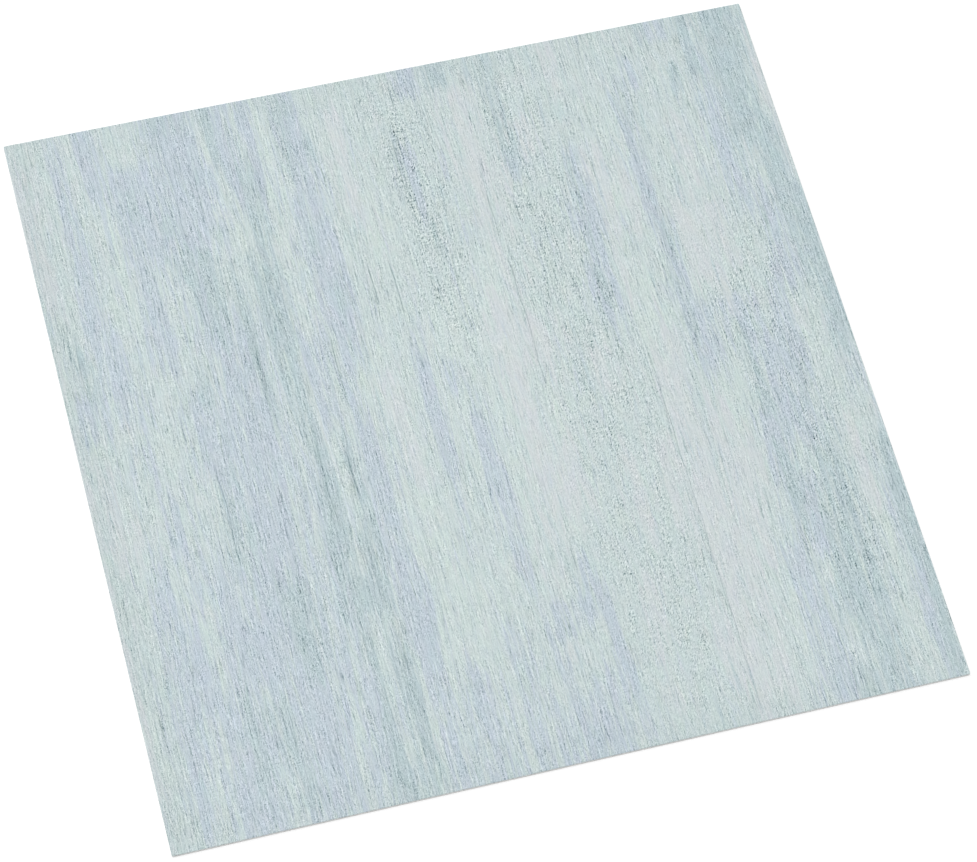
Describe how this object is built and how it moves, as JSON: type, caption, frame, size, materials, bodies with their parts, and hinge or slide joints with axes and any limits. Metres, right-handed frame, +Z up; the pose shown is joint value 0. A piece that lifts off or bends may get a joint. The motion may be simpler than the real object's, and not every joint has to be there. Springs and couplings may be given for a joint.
{
  "type": "vinyl floor tile",
  "caption": "Thin square resilient floor tile with a printed, embossed pale blue-grey grain face, square-cut sides and a flat back that is bonded down.",
  "frame": {"origin": "middle of the underside, the face that is bonded to the floor", "axes": "+Z up out of the printed wear face, +Y along the printed grain, +X across the grain"},
  "size_m": [0.305, 0.305, 0.0015],
  "materials": {
    "printed_vinyl": "matte"
  },
  "bodies": {
    "root": {"vinyl_tile": "printed_vinyl"}
  },
  "joints": []
}
